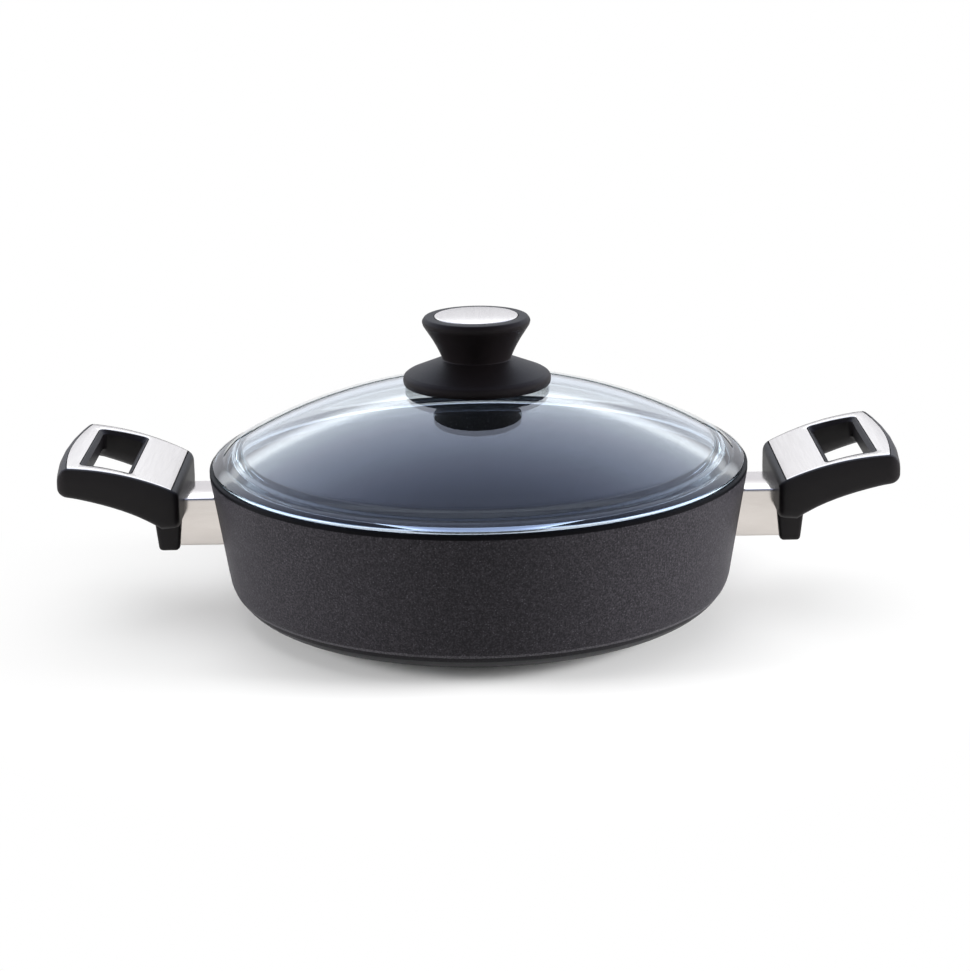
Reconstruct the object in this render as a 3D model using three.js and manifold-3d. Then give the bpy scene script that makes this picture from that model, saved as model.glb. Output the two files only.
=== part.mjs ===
// A low cast casserole: the pot, two side handles on metal sleeves, and a domed glass lid with its knob.
// Millimetres, +Z up. The middle of the base rests on the origin and the handles lie along X.
import * as THREE from 'three';
import { mergeVertices } from 'three/addons/utils/BufferGeometryUtils.js';
import Module from 'manifold-3d';

// Fits
const fitGap = 0.3; // left between pieces that seat on each other
const boreGap = 0.4; // left round a screw in its hole
const roundSides = 60; // facets round the pot and the glass
const knobSides = 36; // facets round the knob
const smallSides = 16; // facets round screws, washers and gaskets
const curveSteps = 7; // facets along the long curves
const cornerSteps = 5; // facets round the pot's corners
const edgeSteps = 3; // facets round small edges

// Pot: cast, tapered wall, thick rim, machined foot
const rimRadius = 145;
const potHeight = 82.2;
const rimBand = 4.6; // height of the band round the rim
const rimOverhang = 1.3; // how far the band stands out from the wall
const rimEdge = 1.3; // rounding of the rim's outer top edge
const mouthEdge = 0.8; // chamfer at the mouth's inner edge
const wallTaper = THREE.MathUtils.degToRad(7.1);
const wallThickness = 4.6;
const cornerRadius = 21.3; // outside, between wall and base
const innerCornerRadius = 17;
const floorHeight = 7.2; // inside floor above the hob
const footRadius = 108.7;
const footHeight = 4.7;
const footEdge = 2.4; // chamfer round the foot
const grooveRadii = [48, 88]; // turned grooves in the base
const grooveDepth = 0.5;
const grooveHalfWidth = 1.2;

// Sleeve between pot and handle, a drawn metal tube over a cast lug
const sleeveWidth = 36.5;
const sleeveHeight = 26.2;
const sleeveWall = 1.2;
const sleeveEdge = 2; // rounding of its long edges
const sleeveDrop = 29; // from the rim's top down to its centre line
const sleeveReach = 24.5; // from the rim out to its end, inside the grip
const lugReach = 8; // from the rim out to the cast lug's end
const lugBoreDepth = 11;

// Grip: a moulded arch that rises and widens outwards. Lengths along X are measured from its inner end,
// and heights from the sleeve's centre line.
const gripStart = 13.6; // from the rim out to its inner end
const gripInnerHalfWidth = 40.3;
const gripOuterHalfWidth = 47.3;
const gripBevel = 2.3; // length of the bevel at the top of its inner end
const gripBevelDrop = 1.8;
const gripTopEdge = 0.5; // rounding of its long top edges
const gripRootEdge = 2.6; // rounding under its inner end
const gripUnderEdge = 4.5; // rounding of its long lower edges
const gripBow = 4; // how far the outer end bows out at the middle
const archRadius = 147;
const archCrestReach = 68.1; // to where the arch is highest
const archRise = 39.4;
const rootLength = 9.4; // to where the flat under the root ends
const rootRise = 2.2; // to that flat
const sweepPull = new THREE.Vector2(14, 13); // from the root's end, pulls the curve under the grip
const gripLength = 55.9; // to where the rounded outer end starts
const noseUnderRise = 23.6; // to the underside there
const noseReach = 6.7; // of the rounded end
const noseRise = 29.8; // to its outermost line
const noseCorner = 4; // how much narrower the end gets
const noseLast = THREE.MathUtils.degToRad(78); // angle where the rounding meets the flat end

// Socket under the grip's root, round the sleeve's end
const socketWall = 3; // beside the sleeve
const socketFloor = 1.6; // under the sleeve
const socketBack = 4.6; // behind the sleeve's end, where the screw seats
const socketLean = 2; // each end face leans in this much from top to bottom
const socketCorner = 2.5;
const socketEdge = 1.5; // rounding of its side edges
const socketRise = 8; // how far it reaches up into the grip

// Finger window
const windowFrom = 24.2; // from the grip's inner end, in the plate
const windowTo = 51.3;
const windowInnerHalfWidth = 35.8;
const windowOuterHalfWidth = 34.2;
const windowCorner = 2.6;
const windowTilt = THREE.MathUtils.degToRad(8); // its walls lean as the plate does
const collarWidth = 2.8; // black collar between the plate and the hole
const collarLand = 0.5; // flat left on top of it
const collarBevel = 2.2; // depth of the collar's bevel
const fingerDepth = 10.5; // from the plate down to where the window opens out for the fingers
const fingerFlare = 5; // how far it opens out
const fingerReach = 9; // over this much more depth

// Inlaid plate
const plateFrom = 3.2; // from the grip's inner end
const plateTo = 56.3; // at its corners
const plateBow = 4.2;
const plateBorder = 1; // black edge left beside the plate
const plateThickness = 1.2;
const sheetEnd = 85; // degrees, where the sheet it is cut from ends past its outer edge
const sheetSteps = 16; // facets along the arch

// Handle screw and its spring washer
const handleScrewRadius = 3;
const handleHeadRadius = 5;
const handleHeadHeight = 3.2;
const handleWasherRadius = 5.2;
const handleWasherThickness = 1.4;
const seatDepth = 1.5; // counterbore in the socket's back

// Shape of every screw, as parts of its shank radius or of its head
const tipNarrowing = 0.3; // of the radius
const tipLength = 0.4; // of the radius
const headSide = 0.45; // upright part of the head's height
const headFlat = 0.72; // of the head's radius
const keyRadius = 0.75; // of the shank's radius
const keyDepth = 0.55; // of the head's height

// Glass lid
const glassInset = 2.4; // from the rim's edge in to the glass's edge
const glassDome = 271; // radius of the dome
const glassThickness = 5;
const turnInset = 9.9; // from the glass's edge in to where the dome rolls over
const shoulderRise = 7.69; // from the seat up to there
const glassRoll = 24.3; // radius of that roll
const glassEdge = 1.2; // chamfer at the flange's lower edge
const skirtGap = 1.1; // between the locating skirt and the mouth
const skirtDepth = 6; // below the flange
const skirtWidth = 6.5;
const skirtOuterEdge = 1;
const skirtInnerEdge = 2;
const glassHole = 5; // radius

// Knob, with heights above the glass's crown
const knobTopRadius = 29.1;
const knobHeight = 35.2;
const knobWaist = 18.5; // radius at the foot of the neck
const waistRise = 12.3;
const brimDrop = 2.4; // from the top down to the widest circle of the head
const brimRounding = 2.1;
const brimTurn = 70; // degrees of that rounding
const brimTuck = 0.6; // how far the neck starts in under the brim
const neckPull = new THREE.Vector2(-1.6, -1); // bends the neck inwards from a straight line
const neckFoot = 1; // step between neck and flange
const flangeRadius = 39.8;
const flangeSlopeEnd = 37.2; // radius where the slope meets the rim
const flangeSlopeRise = 4.7;
const flangeGap = 1.44; // between the glass and the flange's rim
const flangeBellyRise = 2.5; // from the rim's underside up to its widest circle
const flangeLip = 3; // wall of the flange's rim
const flangeEdge = 1; // chamfer under the flange's rim
const flangeShoulder = new THREE.Vector2(0.6, -1.2); // rounds the top of that rim
const flangeRoof = 4; // wall of the slope
const bossRadius = 9;
const capRadius = 22.3;
const capThickness = 1.2;
const capRise = 0.3; // the disc stands this much above the knob's top
const capEdge = 0.3;

// Knob fixing
const gasketThickness = 1.4;
const gasketRadius = 9;
const knobWasherRadius = 11;
const knobWasherThickness = 1.2;
const knobScrewRadius = 2.5;
const knobHeadRadius = 4.8;
const knobHeadHeight = 3;
const threadInsertRadius = 4.5;
const threadInsertLength = 12;
const screwEngagement = 9; // length of screw inside the thread insert

const wasm = await Module();
wasm.setup();

// A solid from a closed three.js geometry, with shared corners merged and collapsed triangles dropped.
function solidOf(geometry) {
  const bare = geometry.clone();
  bare.deleteAttribute('normal');
  bare.deleteAttribute('uv');
  const merged = mergeVertices(bare, 1e-4);
  const corners = merged.index.array;
  const kept = [];
  for (let i = 0; i < corners.length; i += 3) {
    const [a, b, c] = corners.slice(i, i + 3);
    if (a !== b && b !== c && c !== a) kept.push(a, b, c);
  }
  const vertProperties = new Float32Array(merged.getAttribute('position').array);
  return new wasm.Manifold(new wasm.Mesh({ numProp: 3, vertProperties, triVerts: new Uint32Array(kept) }));
}

function geometryOf(solid) {
  const mesh = solid.getMesh();
  const geometry = new THREE.BufferGeometry();
  geometry.setAttribute('position', new THREE.BufferAttribute(new Float32Array(mesh.vertProperties), 3));
  geometry.setIndex(new THREE.BufferAttribute(new Uint32Array(mesh.triVerts), 1));
  geometry.computeVertexNormals();
  return geometry;
}

const point = (x, y) => new THREE.Vector2(x, y);

// Points on an arc, angles in degrees from +X, both ends included.
function arc(centreX, centreY, radius, from, to, steps) {
  const points = [];
  for (let i = 0; i <= steps; i++) {
    const angle = THREE.MathUtils.degToRad(from + ((to - from) * i) / steps);
    points.push(point(centreX + radius * Math.cos(angle), centreY + radius * Math.sin(angle)));
  }
  return points;
}

// A solid turned about Z from a profile of (radius, height) points.
function turned(profile, sides) {
  return solidOf(new THREE.LatheGeometry(profile, sides).rotateX(Math.PI / 2));
}

// A closed ring turned about Z, for washers and the like.
function ring(holeRadius, outerRadius, bottom, thickness) {
  const top = bottom + thickness;
  const corners = [point(holeRadius, bottom), point(outerRadius, bottom), point(outerRadius, top),
    point(holeRadius, top), point(holeRadius, bottom)];
  return turned(corners, smallSides);
}

// A round bar along X from one X to the other, at height z.
function barAlongX(radius, from, to, z) {
  const bar = new THREE.CylinderGeometry(radius, radius, to - from, smallSides);
  return solidOf(bar.rotateZ(-Math.PI / 2).translate((from + to) / 2, 0, z));
}

function roundedRectangle(width, height, radius) {
  const shape = new THREE.Shape();
  const x = width / 2 - radius;
  const y = height / 2 - radius;
  shape.absarc(x, y, radius, 0, Math.PI / 2);
  shape.absarc(-x, y, radius, Math.PI / 2, Math.PI);
  shape.absarc(-x, -y, radius, Math.PI, 1.5 * Math.PI);
  shape.absarc(x, -y, radius, 1.5 * Math.PI, 2 * Math.PI);
  return shape;
}

// A section drawn in (Y, Z) about the sleeve's centre line, drawn out along X.
function alongSleeve(shape, from, to) {
  const drawn = { depth: to - from, bevelEnabled: false, curveSegments: edgeSteps };
  const bar = new THREE.ExtrudeGeometry(shape, drawn);
  bar.rotateY(Math.PI / 2).rotateX(Math.PI / 2);
  return solidOf(bar.translate(from, 0, sleeveMiddle));
}

// A skin through rings of the same count of points, closed by a fan at each end.
function loft(rings) {
  const count = rings[0].length;
  const corners = rings.flat();
  const faces = [];
  for (let i = 0; i + 1 < rings.length; i++) {
    for (let j = 0; j < count; j++) {
      const a = i * count + j;
      const b = i * count + ((j + 1) % count);
      faces.push(a, b, a + count, b, b + count, a + count);
    }
  }
  for (const last of [false, true]) {
    const start = last ? (rings.length - 1) * count : 0;
    const middle = corners.length;
    const centre = new THREE.Vector3();
    for (let j = 0; j < count; j++) centre.addScaledVector(corners[start + j], 1 / count);
    corners.push(centre);
    for (let j = 0; j < count; j++) {
      const a = start + j;
      const b = start + ((j + 1) % count);
      faces.push(...(last ? [a, b, middle] : [b, a, middle]));
    }
  }
  return solidOf(new THREE.BufferGeometry().setFromPoints(corners).setIndex(faces));
}

// Pot

const sleeveMiddle = potHeight - sleeveDrop; // height of the sleeve's centre line
const sleeveEnd = rimRadius + sleeveReach; // X
const lugEnd = rimRadius + lugReach; // X
const slope = Math.tan(wallTaper);
const wallRadius = (z) => rimRadius - rimOverhang - (potHeight - rimBand - z) * slope;
const innerRadius = (z) => wallRadius(z) - wallThickness / Math.cos(wallTaper);
const taperDegrees = THREE.MathUtils.radToDeg(wallTaper);

// Centre of a corner that rolls from a level floor into the tapered wall.
function cornerCentre(radiusAt, floor, radius) {
  const height = floor + radius;
  return point(radiusAt(height) - radius / Math.cos(wallTaper), height);
}

function potProfile() {
  const outer = cornerCentre(wallRadius, footHeight, cornerRadius);
  const inner = cornerCentre(innerRadius, floorHeight, innerCornerRadius);
  const band = potHeight - rimBand;
  const profile = [point(0, 0)];
  for (const radius of grooveRadii) {
    profile.push(point(radius - grooveHalfWidth, 0));
    profile.push(point(radius, grooveDepth));
    profile.push(point(radius + grooveHalfWidth, 0));
  }
  profile.push(point(footRadius - footEdge, 0));
  profile.push(point(footRadius, footEdge));
  profile.push(point(footRadius, footHeight));
  profile.push(...arc(outer.x, outer.y, cornerRadius, -90, -taperDegrees, cornerSteps));
  profile.push(point(wallRadius(band), band));
  profile.push(point(rimRadius, band + rimOverhang));
  profile.push(...arc(rimRadius - rimEdge, potHeight - rimEdge, rimEdge, 0, 90, edgeSteps));
  profile.push(point(innerRadius(potHeight) + mouthEdge, potHeight));
  profile.push(point(innerRadius(potHeight - mouthEdge), potHeight - mouthEdge));
  profile.push(...arc(inner.x, inner.y, innerCornerRadius, -taperDegrees, -90, cornerSteps));
  profile.push(point(0, floorHeight));
  return profile;
}

function potBody() {
  const lugWidth = sleeveWidth - 2 * (sleeveWall + fitGap);
  const lugHeight = sleeveHeight - 2 * (sleeveWall + fitGap);
  const lugStart = innerRadius(sleeveMiddle) + wallThickness / 2; // inside the wall
  let body = turned(potProfile(), roundSides);
  for (const side of [1, -1]) {
    const lug = new THREE.BoxGeometry(lugEnd - lugStart, lugWidth, lugHeight);
    body = body.add(solidOf(lug.translate((side * (lugEnd + lugStart)) / 2, 0, sleeveMiddle)));
    const ends = [side * (lugEnd - lugBoreDepth), side * (lugEnd + fitGap)];
    const bore = handleScrewRadius + boreGap;
    body = body.subtract(barAlongX(bore, Math.min(...ends), Math.max(...ends), sleeveMiddle));
  }
  return body;
}

// Handle, modelled on the +X side

const gripInner = rimRadius + gripStart;
const noseStart = gripInner + gripLength;
const archCrest = gripInner + archCrestReach;
const archHeight = sleeveMiddle + archRise;
const rootUnderside = sleeveMiddle + rootRise;
const noseMiddle = sleeveMiddle + noseRise;
const noseUnderside = sleeveMiddle + noseUnderRise;
const root = point(gripInner + rootLength, rootUnderside);
const sweepEnd = point(noseStart, noseUnderside);
const sweep = new THREE.QuadraticBezierCurve(root, root.clone().add(sweepPull), sweepEnd);
const archAt = (x) => archHeight - archRadius + Math.sqrt(archRadius ** 2 - (archCrest - x) ** 2);
const gripWidening = (gripOuterHalfWidth - gripInnerHalfWidth) / (noseStart - gripInner);
const gripHalfWidth = (x) => gripInnerHalfWidth + gripWidening * (Math.min(x, noseStart) - gripInner);

// One ring round the grip at X = x: level top and underside, rounded edges, bowed out towards the nose.
function gripRing(x, halfWidth, bottom, topAt) {
  const bow = gripBow * ((x - gripInner) / (noseStart + noseReach - gripInner)) ** 2;
  const place = (y, z) => {
    const bowed = x + bow * (1 - (y / halfWidth) ** 2);
    return new THREE.Vector3(bowed, y, z ?? topAt(bowed));
  };
  const top = topAt(x);
  const under = Math.min(gripUnderEdge, (top - bottom) / 3);
  const half = [];
  for (let i = 0; i <= edgeSteps; i++) half.push(place(((halfWidth - gripTopEdge) * i) / edgeSteps));
  half.push(place(halfWidth, top - gripTopEdge));
  for (const corner of arc(halfWidth - under, bottom + under, under, 0, -90, edgeSteps)) {
    half.push(place(corner.x, corner.y));
  }
  for (let i = edgeSteps - 1; i >= 0; i--) {
    half.push(place(((halfWidth - under) * i) / edgeSteps, bottom));
  }
  const mirrored = half.slice(1, -1).map((p) => new THREE.Vector3(p.x, -p.y, p.z));
  return [...mirrored, ...half.reverse()];
}

function gripSkin() {
  const bevelled = (x) => archAt(x) - gripBevelDrop;
  const rings = [
    gripRing(gripInner, gripHalfWidth(gripInner) - gripTopEdge, rootUnderside + gripRootEdge, bevelled),
    gripRing(gripInner + gripBevel, gripHalfWidth(gripInner + gripBevel), rootUnderside, archAt),
  ];
  for (const station of sweep.getPoints(curveSteps)) {
    rings.push(gripRing(station.x, gripHalfWidth(station.x), station.y, archAt));
  }
  for (let i = 1; i <= cornerSteps; i++) {
    const angle = (noseLast * i) / cornerSteps;
    const squeeze = Math.cos(angle);
    const top = (x) => noseMiddle + (archAt(x) - noseMiddle) * squeeze;
    const bottom = noseMiddle + (noseUnderside - noseMiddle) * squeeze;
    const halfWidth = gripOuterHalfWidth - noseCorner * (1 - squeeze);
    rings.push(gripRing(noseStart + noseReach * Math.sin(angle), halfWidth, bottom, top));
  }
  return loft(rings);
}

// The block under the root that holds the sleeve's end, drawn in (X, Z) and drawn out along Y.
function socketBlock() {
  const bottom = sleeveMiddle - sleeveHeight / 2 - fitGap - socketFloor;
  const top = rootUnderside + socketRise;
  const inner = gripInner + gripTopEdge;
  const outer = sleeveEnd + fitGap + socketBack;
  const halfWidth = sleeveWidth / 2 + fitGap + socketWall;
  const shape = new THREE.Shape();
  shape.moveTo(inner, top);
  shape.lineTo(inner + socketLean, bottom + socketCorner);
  shape.quadraticCurveTo(inner + socketLean, bottom, inner + socketLean + socketCorner, bottom);
  shape.lineTo(outer - socketLean - socketCorner, bottom);
  shape.quadraticCurveTo(outer - socketLean, bottom, outer - socketLean, bottom + socketCorner);
  shape.lineTo(outer, top);
  const block = new THREE.ExtrudeGeometry(shape, {
    depth: 2 * (halfWidth - socketEdge), curveSegments: edgeSteps,
    bevelSize: socketEdge, bevelThickness: socketEdge, bevelOffset: -socketEdge, bevelSegments: 2,
  });
  return solidOf(block.rotateX(Math.PI / 2).translate(0, halfWidth - socketEdge, 0));
}

// Outline of the window at the plate, moved in or out by grow, in plan round the window's middle.
const windowInner = gripInner + windowFrom;
const windowOuter = gripInner + windowTo;
const windowMiddle = (windowInner + windowOuter) / 2;

function windowOutline(grow) {
  const inner = windowInner - grow - windowMiddle;
  const outer = windowOuter + grow - windowMiddle;
  const narrowing = (windowInnerHalfWidth - windowOuterHalfWidth) / (windowOuter - windowInner);
  const halfWidth = (x) => windowInnerHalfWidth + grow - narrowing * (x + windowMiddle - windowInner);
  const radius = windowCorner;
  const quarter = [
    ...arc(outer - radius, halfWidth(outer) - radius, radius, 0, 90, edgeSteps),
    ...arc(inner + radius, halfWidth(inner) - radius, radius, 90, 180, edgeSteps),
  ];
  return [...quarter, ...quarter.toReversed().map((p) => point(p.x, -p.y))];
}

// A plug through the window, lofted through levels from low to high. Each level is the outline moved in
// or out by grow, at a height measured from the plate along the window's own lean.
function windowPlug(levels) {
  const lift = new THREE.Matrix4().makeRotationY(-windowTilt);
  lift.setPosition(windowMiddle, 0, archAt(windowMiddle));
  const level = ({ grow, height }) =>
    windowOutline(grow).map((p) => new THREE.Vector3(p.x, p.y, height).applyMatrix4(lift));
  return loft(levels.map(level));
}

// The room cut through the grip: open to the fingers below, straight, then bevelled up to the plate.
// The flare and the bevel run on to twice their depth, past the grip's faces.
function windowRoom() {
  const land = fitGap + collarLand;
  return windowPlug([
    { grow: 2 * fingerFlare - collarWidth, height: -fingerDepth - 2 * fingerReach },
    { grow: -collarWidth, height: -fingerDepth },
    { grow: -collarWidth, height: -collarBevel },
    { grow: collarWidth - 2 * land, height: collarBevel },
  ]);
}

// The arched sheet that the plate is cut from, thickness measured down from the grip's top.
function archSheet(thickness, above) {
  const middle = archHeight - archRadius;
  const half = Math.acos((archCrest - gripInner + gripBow) / archRadius);
  const degrees = THREE.MathUtils.radToDeg(half);
  const shape = new THREE.Shape([
    ...arc(archCrest, middle, archRadius + above, 180 - degrees, sheetEnd, sheetSteps),
    ...arc(archCrest, middle, archRadius - thickness, sheetEnd, 180 - degrees, sheetSteps),
  ]);
  const depth = 2 * (gripOuterHalfWidth + fitGap);
  const sheet = new THREE.ExtrudeGeometry(shape, { depth, bevelEnabled: false });
  return solidOf(sheet.rotateX(Math.PI / 2).translate(0, depth / 2, 0));
}

// The plate, or with grow the room for it: outline in plan cut through the arched sheet, less the window.
function plateSolid(grow, thickness, above) {
  const inner = gripInner + plateFrom - grow;
  const outer = gripInner + plateTo + grow;
  const innerHalf = gripHalfWidth(inner + grow) - plateBorder + grow;
  const outerHalf = gripHalfWidth(outer - grow) - plateBorder + grow;
  const outline = new THREE.Shape();
  outline.moveTo(inner, -innerHalf);
  outline.lineTo(outer, -outerHalf);
  outline.quadraticCurveTo(outer + 2 * plateBow, 0, outer, outerHalf);
  outline.lineTo(inner, innerHalf);
  const tall = archHeight + above + fitGap;
  const drawn = { depth: tall, bevelEnabled: false, curveSegments: curveSteps };
  const cutter = new THREE.ExtrudeGeometry(outline, drawn);
  const opening = windowPlug([
    { grow: -grow, height: -archRadius / 2 },
    { grow: -grow, height: archRadius / 2 },
  ]);
  return solidOf(cutter).intersect(archSheet(thickness, above)).subtract(opening);
}

const washerSeat = sleeveEnd + fitGap + socketBack - socketLean / 2 - seatDepth; // X

function grip() {
  const pocket = roundedRectangle(sleeveWidth + 2 * fitGap, sleeveHeight + 2 * fitGap, sleeveEdge);
  const pocketEnd = sleeveEnd + fitGap;
  const back = pocketEnd + socketBack;
  return gripSkin()
    .add(socketBlock())
    .subtract(alongSleeve(pocket, gripInner - gripBevel, pocketEnd))
    .subtract(barAlongX(handleScrewRadius + boreGap, sleeveEnd, back + fitGap, sleeveMiddle))
    .subtract(barAlongX(handleWasherRadius + boreGap, washerSeat, back + seatDepth, sleeveMiddle))
    .subtract(plateSolid(fitGap, plateThickness + fitGap, plateThickness))
    .subtract(windowRoom());
}

function sleeve() {
  const section = roundedRectangle(sleeveWidth, sleeveHeight, sleeveEdge);
  const hollow = roundedRectangle(sleeveWidth - 2 * sleeveWall, sleeveHeight - 2 * sleeveWall,
    sleeveEdge - sleeveWall);
  section.holes.push(hollow);
  const start = innerRadius(0);
  const low = sleeveMiddle - sleeveHeight;
  const high = sleeveMiddle + sleeveHeight;
  const wall = new THREE.CylinderGeometry(
    wallRadius(high) + fitGap, wallRadius(low) + fitGap, high - low, roundSides);
  return alongSleeve(section, start, sleeveEnd)
    .subtract(solidOf(wall.rotateX(Math.PI / 2).translate(0, 0, sleeveMiddle)));
}

// Screw turned about Z, head up with a six-sided key hole, its seat at height 0.
function panScrew(radius, length, headRadius, headHeight) {
  const profile = [point(0, -length), point(radius * (1 - tipNarrowing), -length),
    point(radius, radius * tipLength - length), point(radius, 0),
    point(headRadius, 0), point(headRadius, headHeight * headSide),
    point(headRadius * headFlat, headHeight), point(0, headHeight)];
  const keyHole = radius * keyRadius;
  const key = new THREE.CylinderGeometry(keyHole, keyHole, 2 * headHeight * keyDepth, 6);
  key.rotateX(Math.PI / 2).translate(0, 0, headHeight);
  return turned(profile, smallSides).subtract(solidOf(key));
}

// Lid

const glassRadius = rimRadius - glassInset;
const glassTurn = glassRadius - turnInset;
const glassSeat = potHeight + fitGap; // the flange rests on the rim
const domeCentre = glassSeat + shoulderRise - Math.sqrt(glassDome ** 2 - glassTurn ** 2);
const glassCrown = domeCentre + glassDome;
const domeAt = (radius, thickness) => domeCentre + Math.sqrt((glassDome - thickness) ** 2 - radius ** 2);

function glassProfile() {
  const turnAngle = THREE.MathUtils.radToDeg(Math.acos(glassTurn / glassDome));
  const towards = point(glassTurn / glassDome, Math.sin(THREE.MathUtils.degToRad(turnAngle)));
  const roll = point(glassTurn, domeAt(glassTurn, 0)).addScaledVector(towards, -glassRoll);
  const edge = glassSeat + glassEdge;
  const rollEnd = THREE.MathUtils.radToDeg(Math.asin((edge + glassEdge - roll.y) / glassRoll));
  const skirtOuter = innerRadius(potHeight) - skirtGap;
  const skirtBottom = glassSeat - skirtDepth;
  const skirtFoot = skirtOuter - skirtDepth * slope;
  const skirtInner = skirtFoot - skirtWidth;
  const holeAngle = THREE.MathUtils.radToDeg(Math.acos(glassHole / glassDome));
  const innerDome = glassDome - glassThickness;
  const innerAngle = THREE.MathUtils.radToDeg(Math.acos((skirtInner - glassThickness) / innerDome));
  const innerHole = THREE.MathUtils.radToDeg(Math.acos(glassHole / innerDome));
  const outside = [
    ...arc(0, domeCentre, glassDome, holeAngle, turnAngle, curveSteps).slice(0, -1),
    ...arc(roll.x, roll.y, glassRoll, turnAngle, rollEnd, edgeSteps),
  ];
  const underside = [
    point(glassRadius, edge), point(glassRadius - glassEdge, glassSeat), point(skirtOuter, glassSeat),
    point(skirtFoot, skirtBottom + skirtOuterEdge), point(skirtFoot - skirtOuterEdge, skirtBottom),
    point(skirtInner + skirtInnerEdge, skirtBottom), point(skirtInner, skirtBottom + skirtInnerEdge),
    ...arc(0, domeCentre, innerDome, innerAngle, innerHole, curveSteps),
  ];
  return [...outside, ...underside, outside[0]].reverse();
}

// Heights in the stack that fixes the knob, from the knob's disc down to the screw's head.
const knobTop = glassCrown + knobHeight;
const capBottom = knobTop - capThickness + capRise;
const upperSeat = glassCrown + fitGap;
const bossBottom = upperSeat + gasketThickness + fitGap;
const lowerFace = domeAt(knobWasherRadius, glassThickness) - fitGap;
const washerTop = lowerFace - gasketThickness - fitGap;
const headSeat = washerTop - knobWasherThickness - fitGap;
const screwHole = knobScrewRadius + boreGap;

function knobProfile() {
  const recess = capBottom - fitGap;
  const insertTop = bossBottom + threadInsertLength + fitGap;
  const insertBore = threadInsertRadius + fitGap;
  const lipInner = flangeRadius - flangeLip;
  const flangeBottom = domeAt(flangeRadius, 0) + flangeGap;
  const waist = glassCrown + waistRise;
  const brim = knobTop - brimDrop;
  const slopeStart = point(flangeSlopeEnd, glassCrown + flangeSlopeRise);
  const neckTop = point(knobTopRadius - brimTuck, brim - brimRounding);
  const neckEnd = point(knobWaist, waist);
  const neckMiddle = neckTop.clone().add(neckEnd).divideScalar(2).add(neckPull);
  return [
    point(0, insertTop), point(insertBore, insertTop), point(insertBore, bossBottom),
    point(bossRadius, bossBottom), point(bossRadius, waist - flangeRoof),
    point(knobWaist + neckFoot, waist - flangeRoof),
    point(lipInner - flangeEdge, slopeStart.y - flangeRoof),
    point(lipInner, flangeBottom + flangeEdge / 2), point(lipInner + flangeEdge, flangeBottom),
    point(flangeRadius - flangeEdge, flangeBottom), point(flangeRadius, flangeBottom + flangeBellyRise),
    point(flangeRadius, slopeStart.y).add(slopeStart).divideScalar(2).add(flangeShoulder),
    slopeStart, point(knobWaist + neckFoot, waist),
    ...new THREE.QuadraticBezierCurve(neckEnd, neckMiddle, neckTop).getPoints(curveSteps),
    ...arc(knobTopRadius - brimRounding, brim, brimRounding, 0, brimTurn, edgeSteps),
    point(capRadius + fitGap, knobTop), point(capRadius + fitGap, recess), point(0, recess),
  ];
}

// Upper gasket: a flat ring on the glass with a neck down its hole.
function grommet() {
  const neck = glassHole - boreGap;
  const neckEnd = upperSeat - glassThickness + fitGap;
  const top = upperSeat + gasketThickness;
  const profile = [point(screwHole, neckEnd), point(neck, neckEnd),
    point(neck, upperSeat), point(gasketRadius, upperSeat),
    point(gasketRadius, top), point(screwHole, top), point(screwHole, neckEnd)];
  return turned(profile, smallSides);
}

function capDisc() {
  const top = capBottom + capThickness;
  const profile = [point(0, capBottom), point(capRadius, capBottom), point(capRadius, top - capEdge),
    point(capRadius - capEdge, top), point(0, top)];
  return turned(profile, knobSides);
}

// Scene

const coating = { color: 0x2f2f31, roughness: 0.45, metalness: 0.3 };
const phenolic = { color: 0x211e20, roughness: 0.5, metalness: 0 };
const satinSteel = { color: 0xc9cacc, roughness: 0.32, metalness: 1 };
const polishedSteel = { color: 0xd8d4cf, roughness: 0.15, metalness: 1 };
const platedSteel = { color: 0x9da0a3, roughness: 0.35, metalness: 1 };
const clearGlass = { color: 0xbfd4dc, roughness: 0.02, metalness: 0 };
const silicone = { color: 0x3a3a3c, roughness: 0.7, metalness: 0 };
const brass = { color: 0xb08d4a, roughness: 0.35, metalness: 1 };

function piece(name, solid, finish) {
  const mesh = new THREE.Mesh(geometryOf(solid), new THREE.MeshStandardMaterial(finish));
  mesh.name = name;
  return mesh;
}

function handle(side) {
  const group = new THREE.Group();
  group.add(piece(`${side}_sleeve`, sleeve(), polishedSteel));
  group.add(piece(`${side}_grip`, grip(), phenolic));
  group.add(piece(`${side}_plate`, plateSolid(0, plateThickness, 0), satinSteel));
  const seat = washerSeat + fitGap;
  const springRing = ring(handleScrewRadius + boreGap, handleWasherRadius, 0, handleWasherThickness);
  const washer = piece(`${side}_spring_washer`, springRing, platedSteel);
  const underHead = seat + handleWasherThickness + fitGap;
  const length = underHead - (lugEnd - lugBoreDepth) - 2 * fitGap;
  const longScrew = panScrew(handleScrewRadius, length, handleHeadRadius, handleHeadHeight);
  const screw = piece(`${side}_handle_screw`, longScrew, platedSteel);
  washer.position.set(seat, 0, sleeveMiddle);
  screw.position.set(underHead, 0, sleeveMiddle);
  for (const fastener of [washer, screw]) fastener.rotation.y = Math.PI / 2;
  group.add(washer, screw);
  return group;
}

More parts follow.
